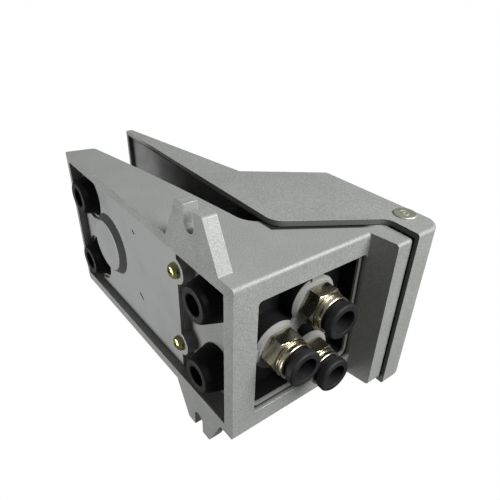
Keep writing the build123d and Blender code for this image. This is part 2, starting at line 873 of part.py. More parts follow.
# Push-in fittings with their seals, grip rings and release collars
def ring(name, y, z, start, height, outer, inner):
    """Build a plain ring on a port's axis and write it."""
    with BuildPart() as piece:
        with BuildSketch(rear_plane(port_face - start, y, z)):
            Circle(outer)
            Circle(inner, mode=Mode.SUBTRACT)
        extrude(amount=height)
    finish(piece, name)


for name, (y, z) in zip(("outlet_a", "supply", "outlet_b"), ports):
    with BuildPart() as fitting:
        with BuildSketch(rear_plane(port_face, y, z)):
            RegularPolygon(hex_flats / 2, hexagon, major_radius=False)
        extrude(amount=hex_height)
        chamfer(fitting.faces().sort_by(Axis.X)[0].edges(), groove_depth)
        with BuildSketch(rear_plane(port_face, y, z)):
            Circle(barrel_radius)
        extrude(amount=barrel_end)
        for index in range(2):
            with BuildSketch(rear_plane(port_face - barrel_end + (index + 1) * groove_pitch, y, z)):
                Circle(barrel_radius + groove_depth)
                Circle(barrel_radius - groove_depth, mode=Mode.SUBTRACT)
            extrude(amount=groove_width, mode=Mode.SUBTRACT)
        with BuildSketch(rear_plane(port_face + shank_length, y, z)):
            Circle(shank_radius)
        extrude(amount=shank_length)
        with BuildSketch(rear_plane(port_face + shank_length, y, z)):
            Circle(bore_radius)
        extrude(amount=shank_length, mode=Mode.SUBTRACT)
        with BuildSketch(rear_plane(port_face + socket_depth, y, z)):
            Circle(tube_radius)
        extrude(amount=seal_seat + socket_depth, mode=Mode.SUBTRACT)
        with BuildSketch(rear_plane(port_face - seal_seat, y, z)):
            Circle(pocket_radius)
        extrude(amount=barrel_end - seal_seat, mode=Mode.SUBTRACT)
    finish(fitting, f"{name}_fitting")

    seal_bore = tube_radius + running_fit
    ring(f"{name}_tube_seal", y, z, seal_seat, seal_height, pocket_radius - running_fit, seal_bore)
    ring(f"{name}_grip_ring", y, z, grip_start, grip_height, pocket_radius - running_fit, seal_bore)

    with BuildPart() as collar:
        flange_start = barrel_end + collar_travel
        with BuildSketch(rear_plane(port_face - flange_start, y, z)):
            Circle(collar_radius)
        extrude(amount=collar_face - flange_start)
        fillet(collar.faces().sort_by(Axis.X)[0].edges(), collar_edge)
        with BuildSketch(rear_plane(port_face - collar_sleeve_start, y, z)):
            Circle(collar_sleeve_radius)
        extrude(amount=flange_start - collar_sleeve_start)
        with BuildSketch(rear_plane(port_face - collar_sleeve_start, y, z)):
            Circle(collar_bore)
        extrude(amount=collar_face - collar_sleeve_start, mode=Mode.SUBTRACT)
    finish(collar, f"{name}_release_collar")
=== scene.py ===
"""Dresses the foot pedal air valve: cast shells, rubber feet, plated fittings, springs and its studio."""

import logging
import math
from collections.abc import Callable, Sequence
from dataclasses import dataclass, field
from enum import Enum

import bmesh
import bpy
from bpy.types import Material, Mesh, Node, NodeSocket, NodeTree, Object
from mathutils import Matrix, Vector


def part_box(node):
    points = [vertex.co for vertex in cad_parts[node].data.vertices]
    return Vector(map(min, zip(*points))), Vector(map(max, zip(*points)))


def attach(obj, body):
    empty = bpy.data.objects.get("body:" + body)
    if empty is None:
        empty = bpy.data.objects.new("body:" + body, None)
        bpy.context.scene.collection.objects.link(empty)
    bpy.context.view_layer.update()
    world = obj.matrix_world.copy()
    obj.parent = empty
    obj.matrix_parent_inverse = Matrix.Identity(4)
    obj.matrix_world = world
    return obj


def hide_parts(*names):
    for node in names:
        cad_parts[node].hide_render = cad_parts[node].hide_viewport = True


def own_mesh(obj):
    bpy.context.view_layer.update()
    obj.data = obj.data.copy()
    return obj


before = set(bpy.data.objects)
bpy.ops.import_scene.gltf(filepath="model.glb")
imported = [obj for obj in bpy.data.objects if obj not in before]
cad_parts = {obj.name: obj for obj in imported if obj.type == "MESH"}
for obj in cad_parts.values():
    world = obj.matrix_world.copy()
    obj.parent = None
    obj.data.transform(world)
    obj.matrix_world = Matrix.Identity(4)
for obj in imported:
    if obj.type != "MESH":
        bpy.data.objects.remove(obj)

log = logging.getLogger("foot_valve")
MM = 0.001
REAR_X = -71.1
RIM_Z = 2.5
SPOOL_X = 20.6
SKIRT_REAR = (1.0, 81.3)
SKIRT_FOOT = (26.5, 38.7)
SKIRT_NOSE = (152.5, 37.5)
NOISE_LOW, NOISE_HIGH = 0.35, 0.65
UNMOVED = Matrix.Identity(4)

Profile = Sequence[tuple[float, float]]
Radius = Callable[[float, float], float]


def at(x: float, y: float, z: float) -> Vector:
    """Return a point in metres, from mm along the base, off its middle and above its rim."""
    return Vector((x + REAR_X, y, z + RIM_Z)) * MM


def levels_of(node: str) -> tuple[float, float]:
    """Return the lowest and highest level of a node's box, in mm above the rim."""
    low, high = (corner[2] / MM - RIM_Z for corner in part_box(node))
    return low, high


def even(low: float, high: float, count: int) -> list[float]:
    """Return the ends of so many equal steps between two levels."""
    return [low + (high - low) * index / count for index in range(count + 1)]


def polar(radius: float, angle: float, height: float) -> Vector:
    """Return a point in metres from its radius and height in mm and its angle."""
    return Vector((radius * math.cos(angle), radius * math.sin(angle), height)) * MM


class Facing(Enum):
    """The way a turned piece's height runs."""

    UP = (0, 0, 1)
    REAR = (-1, 0, 0)
    LEFT = (0, 1, 0)
    RIGHT = (0, -1, 0)

    def placed(self, origin: Vector) -> Matrix:
        """Return the matrix that stands a piece on an origin and points it this way."""
        return Matrix.Translation(origin) @ Vector(self.value).to_track_quat("Z", "Y").to_matrix().to_4x4()


class Nodes:
    """A node tree under construction, of a material, a world or a geometry recipe."""

    def __init__(self, tree: NodeTree) -> None:
        """Take up a tree."""
        self.tree = tree

    def feed(self, node: Node, feeds: dict) -> None:
        """Feed a node's sockets, by name or number, each from an output or with a plain value."""
        for key, source in feeds.items():
            if isinstance(source, NodeSocket):
                self.tree.links.new(source, node.inputs[key])
            else:
                node.inputs[key].default_value = source

    def add(self, kind: str, feeds: dict | None = None, **settings: object) -> Node:
        """Add a node of a kind, set its properties, feed its sockets and return it."""
        node = self.tree.nodes.new(kind)
        for key, value in settings.items():
            setattr(node, key, value)
        self.feed(node, feeds or {})
        return node

    def math(self, operation: str, first: object, second: object = 0.0) -> NodeSocket:
        """Add a sum on two numbers and return its result."""
        return self.add("ShaderNodeMath", {0: first, 1: second}, operation=operation).outputs[0]

    def dot(self, first: object, second: object) -> NodeSocket:
        """Add the dot product of two vectors and return it."""
        feeds = {0: first, 1: second}
        return self.add("ShaderNodeVectorMath", feeds, operation="DOT_PRODUCT").outputs["Value"]

    def step(
        self, source: NodeSocket, start: object, end: object, low: object = 0.0, high: object = 1.0,
        **settings: object,
    ) -> NodeSocket:
        """Return a number's step from low at its start to high at its end, held past both."""
        feeds = {"Value": source, "From Min": start, "From Max": end, "To Min": low, "To Max": high}
        return self.add("ShaderNodeMapRange", feeds, **settings).outputs["Result"]


class Paint(Nodes):
    """A material under construction round one principled shader."""

    def __init__(self, name: str) -> None:
        """Start the material under its plain name."""
        self.material = bpy.data.materials.new(name)
        self.material.use_nodes = True
        super().__init__(self.material.node_tree)
        self.shader = self.tree.nodes["Principled BSDF"]
        self.coords = self.add("ShaderNodeTexCoord").outputs["Object"]

    def surface(self, feeds: dict) -> None:
        """Feed the shader's sockets."""
        self.feed(self.shader, feeds)

    def noise(self, per_mm: float, detail: float) -> NodeSocket:
        """Add a noise fixed to the object, of so many cells in a millimetre, and return its factor."""
        feeds = {"Vector": self.coords, "Scale": per_mm / MM, "Detail": detail}
        return self.add("ShaderNodeTexNoise", feeds).outputs["Fac"]

    def spread(self, source: NodeSocket, low: float, high: float) -> NodeSocket:
        """Spread the middle of a noise over a new range."""
        return self.step(source, NOISE_LOW, NOISE_HIGH, low, high)

    def mixed(self, share: NodeSocket, base: NodeSocket | tuple, over: tuple) -> NodeSocket:
        """Return a plain colour laid over a plain or patterned one, by its share from 0 to 1."""
        below = base if isinstance(base, NodeSocket) else (*base, 1)
        return self.add("ShaderNodeMix", {0: share, 6: below, 7: (*over, 1)}, data_type="RGBA").outputs[2]

    def product(self, first: NodeSocket, *others: NodeSocket) -> NodeSocket:
        """Return the product of patterns."""
        for other in others:
            first = self.math("MULTIPLY", first, other)
        return first

    def rounded_edges(self, radius: float) -> tuple[NodeSocket, NodeSocket]:
        """Return the normal with edges rounded by a radius in mm, and a mask that is 1 on the edges."""
        soft = self.add("ShaderNodeBevel", {"Radius": radius * MM}, samples=6).outputs["Normal"]
        flat = self.add("ShaderNodeNewGeometry").outputs["Normal"]
        return soft, self.step(self.dot(soft, flat), 0.999, 0.93)

    def ramp(self, axis: str, start: float, end: float) -> NodeSocket:
        """Return a step from 0 to 1 between two places on an axis, in mm on the base, Y to both sides."""
        parts = self.add("ShaderNodeSeparateXYZ", {"Vector": self.coords})
        along = self.math("ABSOLUTE" if axis == "Y" else "ADD", parts.outputs[axis])
        begin, finish = (at(value, value, value)["XYZ".index(axis)] for value in (start, end))
        return self.step(along, begin, finish)

    def facing(self, start: float, end: float) -> NodeSocket:
        """Return a step from 0 to 1 between two heights of the normal, 1 high where faces look up."""
        normal = self.add("ShaderNodeTexCoord").outputs["Normal"]
        return self.step(self.dot(normal, (0, 0, 1)), start, end)

    def over_skirts(self, start: float, end: float) -> NodeSocket:
        """Return a step from 0 to 1 between two distances in mm over the lower edges of the skirts."""
        distances = []
        for (x0, z0), (x1, z1) in ((SKIRT_FOOT, SKIRT_NOSE), (SKIRT_REAR, SKIRT_FOOT)):
            across = Vector((z0 - z1, 0, x1 - x0)).normalized()
            distances.append(self.math("SUBTRACT", self.dot(self.coords, across), across.dot(at(x0, 0, z0))))
        return self.step(self.math("MINIMUM", *distances), start * MM, end * MM)

    def relief(self, *layers: tuple[NodeSocket, float], start: NodeSocket | None = None) -> None:
        """Stack bumps, each a height pattern with its depth in mm, on the plain or a given normal."""
        below = {"Normal": start} if start else {}
        for height, depth in layers:
            feeds = {"Distance": depth * MM, "Strength": 1.0, "Height": height, **below}
            bump = self.add("ShaderNodeBump", feeds)
            below = {"Normal": bump.outputs["Normal"]}
        self.surface(below)


@dataclass(frozen=True)
class CastPaint:
    """Silver paint over a sand textured casting."""

    name: str
    dark: tuple = (0.18, 0.187, 0.177)
    light: tuple = (0.31, 0.318, 0.303)
    grain_per_mm: float = 1.0
    grain_depth: float = 0.10
    sheen_metal: float = 0.2
    roughness: tuple = (0.54, 0.7)
    edge_radius: float = 0.28
    edge_wear: float = 0.9
    worn: tuple = (0.66, 0.67, 0.65)
    # Zone colour: painted shade on the base, the pedal and the cover sheet; the black paint behind the
    # machined faces of a faced casting.
    painted_shade_and_black: tuple = (0.01, 0.01, 0.009)
    specular: float = 0.5

    def zones(self, paint: Paint) -> list[list[NodeSocket]]:
        """Return the steps that bound each zone of the casting that takes the zone colour."""
        return []

    def make(self) -> Material:
        """Return the finished material."""
        paint = Paint(self.name)
        grain, cloud, speck = paint.noise(self.grain_per_mm, 5), paint.noise(0.06, 4), paint.noise(2.2, 3)
        normal, edge = paint.rounded_edges(self.edge_radius)
        wear = paint.product(edge, paint.spread(paint.noise(0.35, 4), 0.1, self.edge_wear))
        colour = paint.mixed(paint.spread(speck, 0.1, 0.9), self.dark, self.light)
        colour = paint.mixed(wear, colour, self.worn)
        # Lay the zone colour over each zone: painted shade on most castings, black paint behind a faced
        # casting's machined faces.
        for steps in self.zones(paint):
            colour = paint.mixed(paint.product(*steps), colour, self.painted_shade_and_black)
        depth = self.grain_depth
        paint.relief((cloud, 1.5 * depth), (grain, depth), (speck, depth / 3), start=normal)
        paint.surface({
            "Base Color": colour,
            "Roughness": paint.spread(cloud, *self.roughness),
            "Metallic": self.sheen_metal,
            "Specular IOR Level": self.specular,
        })
        return paint.material


class ChamberPaint(CastPaint):
    """Paint of the base, with painted shade in its valve chamber and a painted shadow below the pedal's
    skirts.
    """

    def zones(self, paint: Paint) -> list[list[NodeSocket]]:
        """Return the steps that bound the painted shade in the chamber, and the painted shadow line below the
        pedal's skirts.
        """
        # Painted shade over the inside of the valve chamber.
        chamber = [
            paint.ramp("X", 0.8, 2.4), paint.ramp("X", 33.4, 32.8), paint.ramp("Y", 31.0, 30.4),
            paint.ramp("Z", 10.4, 11.0), paint.ramp("Z", 71.5, 70.6),
        ]
        # Painted shadow of the pedal's skirts: a dark band on the base's flanks along and just below the
        # skirts' lower edges.
        painted_skirt_shadow = [paint.ramp("Y", 38.8, 39.6), paint.ramp("X", 3.0, 6.0), paint.over_skirts(-2.1, -1.2)]
        return [chamber, painted_skirt_shadow]


class ShellPaint(CastPaint):
    """Paint of the pedal, with painted shade on the inside of its toe and on its downward faces."""

    def zones(self, paint: Paint) -> list[list[NodeSocket]]:
        """Return the steps that bound the inside of the toe, and those of the skirts' lower edges."""
        # Painted shade on the inside of the toe.
        inside = [
            paint.ramp("X", 45.0, 60.0), paint.ramp("X", 157.0, 156.0), paint.ramp("Y", 41.4, 41.0),
            paint.facing(0.3, 0.15),
        ]
        # The second zone is painted shade on the downward faces towards the rear, the skirts' lower edges.
        return [inside, [paint.ramp("X", 100.0, 85.0), paint.facing(-0.2, -0.5)]]


class FacedPaint(CastPaint):
    """A black casting with its front faces machined bright."""

    def zones(self, paint: Paint) -> list[list[NodeSocket]]:
        """Return the step behind the machined faces."""
        return [[paint.ramp("X", 3.4, 3.7)]]


class PressedPaint(CastPaint):
    """Paint on pressed sheet, with painted shade on its sloping walls."""

    def zones(self, paint: Paint) -> list[list[NodeSocket]]:
        """Return the steps that bound the sloping walls."""
        # Painted shade on the sloping walls of the pressed cup.
        return [[paint.facing(-0.95, -0.85), paint.facing(-0.2, -0.4)]]


@dataclass(frozen=True)
class Plating:
    """Plated or turned metal with a fine grain and slight tarnish."""

    name: str
    dark: tuple
    light: tuple
    roughness: tuple
    grain_per_mm: float = 3.0
    grain_depth: float = 0.004

    def make(self) -> Material:
        """Return the finished material."""
        paint = Paint(self.name)
        grain, tarnish = paint.noise(self.grain_per_mm, 3), paint.noise(0.25, 4)
        paint.relief((grain, self.grain_depth), (tarnish, 2 * self.grain_depth))
        paint.surface({
            "Base Color": paint.mixed(paint.spread(tarnish, 0.0, 1.0), self.dark, self.light),
            "Roughness": paint.spread(grain, *self.roughness),
            "Metallic": 1.0,
        })
        return paint.material


@dataclass(frozen=True)
class Moulding:
    """Moulded rubber or plastic with a fine matt skin and a little dust."""

    name: str
    dark: tuple
    light: tuple
    roughness: tuple = (0.42, 0.6)
    grain_per_mm: float = 2.2
    grain_depth: float = 0.02
    specular: float = 0.4

    def make(self) -> Material:
        """Return the finished material."""
        paint = Paint(self.name)
        grain, dust = paint.noise(self.grain_per_mm, 4), paint.noise(0.18, 5)
        paint.relief((dust, self.grain_depth), (grain, self.grain_depth))
        paint.surface({
            "Base Color": paint.mixed(paint.spread(dust, 0.0, 1.0), self.dark, self.light),
            "Roughness": paint.spread(dust, *self.roughness),
            "Metallic": 0.0,
            "Specular IOR Level": self.specular,
        })
        return paint.material


class Finishes:
    """Every finish of the valve, each made once."""

    def __init__(self) -> None:
        """Make the finishes."""
        # Pedal: its zone colour is painted shade.
        self.cast = ShellPaint("cast_silver_paint", painted_shade_and_black=(0.085, 0.088, 0.084)).make()
        # Base: its default zone colour is painted shade and painted shadow.
        self.base = ChamberPaint("base_silver_paint").make()
        # Valve block casting: its zone colour is the black paint behind the machined faces.
        self.block = FacedPaint(
            "valve_block_casting", (0.15, 0.154, 0.147), (0.21, 0.214, 0.205), 1.2, 0.05, 0.0, (0.7, 0.85),
            worn=(0.19, 0.194, 0.186), painted_shade_and_black=(0.004, 0.004, 0.004), specular=0.15,
        ).make()
        self.black = Moulding(
            "black_anodised", (0.006, 0.006, 0.007), (0.012, 0.012, 0.013), (0.36, 0.48), specular=0.25
        ).make()
        # Cover sheet: its zone colour is painted shade on the cup's sloping walls.
        self.sheet = PressedPaint(
            "cover_sheet_paint", (0.25, 0.258, 0.254), (0.31, 0.318, 0.314), 0.9, 0.03, 0.2, (0.42, 0.55),
            painted_shade_and_black=(0.12, 0.123, 0.12),
        ).make()
        self.yellow_zinc = Plating("yellow_zinc", (0.40, 0.38, 0.15), (0.78, 0.77, 0.42), (0.12, 0.24)).make()
        self.bright_zinc = Plating("bright_zinc", (0.52, 0.53, 0.54), (0.68, 0.69, 0.70), (0.25, 0.4)).make()
        self.rubber = Moulding(
            "foot_rubber", (0.004, 0.004, 0.005), (0.009, 0.009, 0.01), specular=0.14
        ).make()
        self.seal = Moulding("seal_rubber", (0.01, 0.01, 0.01), (0.02, 0.02, 0.02), (0.25, 0.4)).make()
        self.pin = Plating("nickel_pin", (0.40, 0.405, 0.335), (0.52, 0.525, 0.445), (0.5, 0.64)).make()
        self.spring = Plating("spring_wire", (0.34, 0.34, 0.34), (0.52, 0.52, 0.52), (0.25, 0.4), 2.0).make()
        self.fitting = Plating(
            "nickel_brass", (0.42, 0.385, 0.28), (0.58, 0.54, 0.42), (0.2, 0.3), grain_depth=0.0015
        ).make()
        self.collar = Moulding(
            "collar_plastic", (0.009, 0.009, 0.01), (0.018, 0.018, 0.019), (0.5, 0.62), specular=0.16
        ).make()
        self.spool = Plating("spool_anodised", (0.56, 0.57, 0.60), (0.68, 0.69, 0.72), (0.2, 0.34)).make()
        self.brass = Plating("turned_brass", (0.52, 0.38, 0.15), (0.68, 0.52, 0.24), (0.2, 0.35)).make()


def softened(profile: Profile, radius: float, steps: int = 4) -> list[tuple[float, float]]:
    """Round the corners of a closed profile, as a mould or a tool leaves them.

    Args:
        profile: Corners as radius and height, in mm.
        radius: Largest rounding, in mm.
        steps: Faces in each rounding.

    Returns:
        The rounded profile.
    """
    result: list[tuple[float, float]] = []
    for index, corner in enumerate(profile):
        here = Vector(corner)
        before = Vector(profile[index - 1]) - here
        after = Vector(profile[(index + 1) % len(profile)]) - here
        reach = min(radius, 0.4 * before.length, 0.4 * after.length)
        if here.x < 1e-6 or reach < 1e-3:
            result.append(corner)
            continue
        start, end = here + before.normalized() * reach, here + after.normalized() * reach
        for t in even(0.0, 1.0, steps):
            point = start * (1 - t) ** 2 + here * (2 * t * (1 - t)) + end * t**2
            result.append((point.x, point.y))
    return result


def to_object(name: str, mesh: Mesh, finish: Material, sharp: float = 32) -> Object:
    """Put a mesh into the scene, smooth except at its sharp edges.

    Args:
        name: The piece's name.
        mesh: Its mesh, in the frame's metres.
        finish: Its material.
        sharp: Angle past which an edge stays sharp, in degrees.

    Returns:
        The piece.
    """
    mesh.materials.clear()
    mesh.materials.append(finish)
    mesh.shade_smooth()
    mesh.set_sharp_from_angle(angle=math.radians(sharp))
    piece = bpy.data.objects.new(name, mesh)
    bpy.context.scene.collection.objects.link(piece)
    return piece


def from_bmesh(name: str, shape: bmesh.types.BMesh) -> Mesh:
    """Close a shape's seams, point its faces outwards, free it and return its mesh."""
    bmesh.ops.remove_doubles(shape, verts=shape.verts, dist=1e-6)
    bmesh.ops.recalc_face_normals(shape, faces=shape.faces)
    mesh = bpy.data.meshes.new(name)
    shape.to_mesh(mesh)
    shape.free()
    return mesh


def joined(target: Mesh, *meshes: Mesh) -> Mesh:
    """Fill a mesh with the faces of several, which may include its own, and return it."""
    shape = bmesh.new()
    for mesh in meshes:
        shape.from_mesh(mesh)
    shape.to_mesh(target)
    shape.free()
    return target


def carved(mesh: Mesh, *steps: tuple[str, Mesh]) -> Mesh:
    """Join meshes to a mesh or cut them out of it.

    Args:
        mesh: The mesh.
        steps: The modes in their order, UNION or DIFFERENCE, each with its mesh.

    Returns:
        The result.
    """
    parts = [bpy.data.objects.new("whole", mesh)]
    for mode, tool in steps:
        parts.append(bpy.data.objects.new(mode.lower(), tool))
        step = parts[0].modifiers.new(mode.lower(), "BOOLEAN")
        step.operation, step.object, step.solver, step.use_self = mode, parts[-1], "EXACT", True
    for part in parts:
        bpy.context.scene.collection.objects.link(part)
    graph = bpy.context.evaluated_depsgraph_get()
    result = bpy.data.meshes.new_from_object(parts[0].evaluated_get(graph))
    for part in parts:
        bpy.data.objects.remove(part)
    return result


def band(shape: bmesh.types.BMesh, low: Sequence, high: Sequence) -> None:
    """Add the faces between two rings of as many corners."""
    for index in range(len(low)):
        after = (index + 1) % len(low)
        shape.faces.new((low[index], low[after], high[after], high[index]))


def turned(name: str, profile: Profile, place: Matrix, segments: int = 72) -> Mesh:
    """Turn a closed profile about its axis.

    Args:
        name: The mesh's name.
        profile: Corners as radius and height, in mm.
        place: Where the axis stands.
        segments: Faces round the axis.

    Returns:
        The mesh.
    """
    shape = bmesh.new()
    rings = []
    for index in range(segments):
        angle = math.tau * index / segments
        rings.append([shape.verts.new(place @ polar(r, angle, h)) for r, h in profile])
    for index, ring in enumerate(rings):
        other = rings[(index + 1) % segments]
        for j in range(len(profile)):
            k = (j + 1) % len(profile)
            if profile[j][0] > 1e-6 or profile[k][0] > 1e-6:
                shape.faces.new((ring[j], other[j], other[k], ring[k]))
    return from_bmesh(name, shape)


def swept_skin(
    name: str, radius: Radius, heights: Sequence[float], place: Matrix, segments: int = 72
) -> Mesh:
    """Skin a solid whose radius changes with angle and height, such as a hexagon or a thread.

    Args:
        name: The mesh's name.
        radius: Radius in mm at an angle and a height.
        heights: Levels of the skin, in mm.
        place: Where the axis stands.
        segments: Faces round the axis.

    Returns:
        The closed mesh.
    """
    shape = bmesh.new()
    angles = [math.tau * index / segments for index in range(segments)]
    rings = [[shape.verts.new(place @ polar(radius(a, h), a, h)) for a in angles] for h in heights]
    for low, high in zip(rings, rings[1:]):
        band(shape, low, high)
    shape.faces.new(list(reversed(rings[0])))
    shape.faces.new(rings[-1])
    return from_bmesh(name, shape)


def hexagon(flats: float, height: float, chamfer: float) -> Radius:
    """Return the function for a chamfered hexagon's radius at an angle and a height, all in mm."""

    def radius(angle: float, level: float) -> float:
        """Return the smaller of the hexagon and its chamfer cones."""
        flat = flats / 2 / math.cos((angle + math.pi / 6) % (math.pi / 3) - math.pi / 6)
        edge = min(level, height - level)
        return min(flat, flats / 2 + edge / math.tan(math.radians(30)) + 0.02) if edge < chamfer else flat

    return radius


def thread(major: float, pitch: float, depth: float, starts_at: float, ends_at: float) -> Radius:
    """Return the radius of a helical thread at an angle and a height.

    Args:
        major: Outer radius, in mm.
        pitch: Rise of one turn, in mm.
        depth: Depth of the thread, in mm.
        starts_at: Height of the first turn, in mm.
        ends_at: Height of the last turn, in mm.

    Returns:
        The radius function.
    """

    def radius(angle: float, level: float) -> float:
        """Return the radius of the thread's flank."""
        phase = (level / pitch - angle / math.tau) % 1.0
        taper = min(1.0, max(0.0, (level - starts_at) / pitch), max(0.0, (ends_at - level) / pitch))
        return major - depth * (1 - taper) - depth * taper * abs(2 * phase - 1)

    return radius


class Recipe(Nodes):
    """A geometry node tree with named inputs, which ends in realized and painted instances."""

    def __init__(self, name: str, finish: Material, inputs: dict[str, tuple[str, object]]) -> None:
        """Start the tree.

        Args:
            name: The name of the piece that it makes.
            finish: The piece's material.
            inputs: Input names, each with its socket type and value.
        """
        super().__init__(bpy.data.node_groups.new(f"{name}_recipe", "GeometryNodeTree"))
        self.name = name
        self.finish = finish
        sockets = self.tree.interface
        for way in ("INPUT", "OUTPUT"):
            sockets.new_socket("Geometry", in_out=way, socket_type="NodeSocketGeometry")
        self.values: dict[str, object] = {}
        for key, (kind, value) in {**inputs, "Material": ("NodeSocketMaterial", finish)}.items():
            self.values[sockets.new_socket(key, in_out="INPUT", socket_type=kind).identifier] = value
        self.given = self.add("NodeGroupInput").outputs
        self.exit = self.add("NodeGroupOutput")

    def copies(self, points: NodeSocket, turn: NodeSocket) -> NodeSocket:
        """Return turned copies of the object that is given as Shape, one on each point."""
        shape = self.add("GeometryNodeObjectInfo", {"Object": self.given["Shape"]}).outputs["Geometry"]
        feeds = {"Points": points, "Instance": shape, "Rotation": turn}
        return self.add("GeometryNodeInstanceOnPoints", feeds).outputs["Instances"]

    def baked(self, geometry: NodeSocket, seeds: Sequence[Vector], sharp: float = 32) -> Object:
        """End the tree, run it on loose points and return the plain result.

        Args:
            geometry: What the tree has made.
            seeds: The points, in metres.
            sharp: Angle past which an edge stays sharp, in degrees.

        Returns:
            The piece, with no modifier on it.
        """
        real = self.add("GeometryNodeRealizeInstances", {"Geometry": geometry}).outputs["Geometry"]
        painted = self.add("GeometryNodeSetMaterial", {"Geometry": real, "Material": self.given["Material"]})
        self.feed(self.exit, {"Geometry": painted.outputs["Geometry"]})
        seed_mesh = bpy.data.meshes.new(f"{self.name}_seeds")
        seed_mesh.from_pydata([tuple(seed) for seed in seeds], [], [])
        carrier = bpy.data.objects.new(f"{self.name}_carrier", seed_mesh)
        bpy.context.scene.collection.objects.link(carrier)
        modifier = carrier.modifiers.new("recipe", "NODES")
        modifier.node_group = self.tree
        for identifier, value in self.values.items():
            modifier[identifier] = value
        graph = bpy.context.evaluated_depsgraph_get()
        mesh = bpy.data.meshes.new_from_object(carrier.evaluated_get(graph))
        bpy.data.objects.remove(carrier)
        mesh.name = self.name
        return to_object(self.name, mesh, self.finish, sharp)


def repeated(
    name: str, shape: Mesh, spots: Sequence[Vector], finish: Material, turn: tuple = (0, 0, 0)
) -> Object:
    """Stand a copy of a shape on every spot by geometry nodes.

    Args:
        name: The piece's name.
        shape: The shape, at the origin.
        spots: Where the copies stand, in metres.
        finish: The material.
        turn: Rotation of each copy, in radians.

    Returns:
        One piece that holds every copy.
    """
    source = bpy.data.objects.new(f"{name}_pattern", shape)
    given = {"Shape": ("NodeSocketObject", source), "Turn": ("NodeSocketRotation", turn)}
    recipe = Recipe(name, finish, given)
    points = recipe.add("GeometryNodeMeshToPoints", {"Mesh": recipe.given["Geometry"]}).outputs["Points"]
    piece = recipe.baked(recipe.copies(points, recipe.given["Turn"]), spots)
    bpy.data.objects.remove(source)
    return piece


@dataclass(frozen=True)
class Coil:
    """A compression spring with closed ends, wound by geometry nodes."""

    name: str
    x: float
    radius: float
    wire: float
    turns: float
    keep: float

    def build(self, finish: Material, node: str, joint: str) -> None:
        """Wind the spring and stand it for its node.

        Args:
            finish: The material.
            node: The node that it stands for.
            joint: Not used.
        """
        low, high = (corner[2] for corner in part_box(node))
        foot = Vector(((self.x + REAR_X) * MM, 0, low))
        wire = self.wire * MM
        recipe = Recipe(self.name, finish, {
            "Coil Radius": ("NodeSocketFloat", self.radius * MM),
            "Wire Radius": ("NodeSocketFloat", wire),
            "Turns": ("NodeSocketFloat", self.turns),
            "Height": ("NodeSocketFloat", high - low - 2 * wire),
            "Foot": ("NodeSocketVector", tuple(foot + Vector((0, 0, wire)))),
        })
        given = recipe.given
        spiral = recipe.add("GeometryNodeCurveSpiral", {
            "Resolution": 40, "Rotations": given["Turns"], "Height": 0.0,
            "Start Radius": given["Coil Radius"], "End Radius": given["Coil Radius"],
        }).outputs["Curve"]
        along = recipe.add("GeometryNodeSplineParameter").outputs["Factor"]
        thickness = recipe.math("MULTIPLY", given["Wire Radius"], 2.0)
        closed_rise = recipe.math("MULTIPLY", thickness, given["Turns"])
        closed_end = recipe.math("DIVIDE", 1.0, given["Turns"])
        open_rise = recipe.step(
            along, closed_end, recipe.math("SUBTRACT", 1.0, closed_end), 0.0,
            recipe.math("SUBTRACT", given["Height"], closed_rise),
        )
        level = recipe.math("ADD", recipe.math("MULTIPLY", along, closed_rise), open_rise)
        lift = recipe.add("ShaderNodeCombineXYZ", {"Z": level}).outputs["Vector"]
        shift = recipe.add("ShaderNodeVectorMath", {0: lift, 1: given["Foot"]}, operation="ADD")
        wound = recipe.add("GeometryNodeSetPosition", {"Geometry": spiral, "Offset": shift.outputs["Vector"]})
        ring = {"Resolution": 12, "Radius": given["Wire Radius"]}
        circle = recipe.add("GeometryNodeCurvePrimitiveCircle", ring)
        tube = recipe.add("GeometryNodeCurveToMesh", {
            "Curve": wound.outputs["Geometry"], "Profile Curve": circle.outputs["Curve"], "Fill Caps": True,
        })
        spring = recipe.baked(tube.outputs["Mesh"], [foot], 50)
        seat(spring, node)
        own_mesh(spring)


def seat(piece: Object, node: str, body: str = "base") -> None:
    """Make a piece ride on its body and stand for its node.

    Args:
        piece: The finished piece.
        node: The node it replaces.
        body: The body that carries it.
    """
    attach(piece, body)
    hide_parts(node)
    log.info("%s rides on %s", piece.name, body)


def dress(node: str, finish: Material) -> None:
    """Give a carried over node its finish."""
    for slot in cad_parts[node].material_slots:
        slot.material = finish


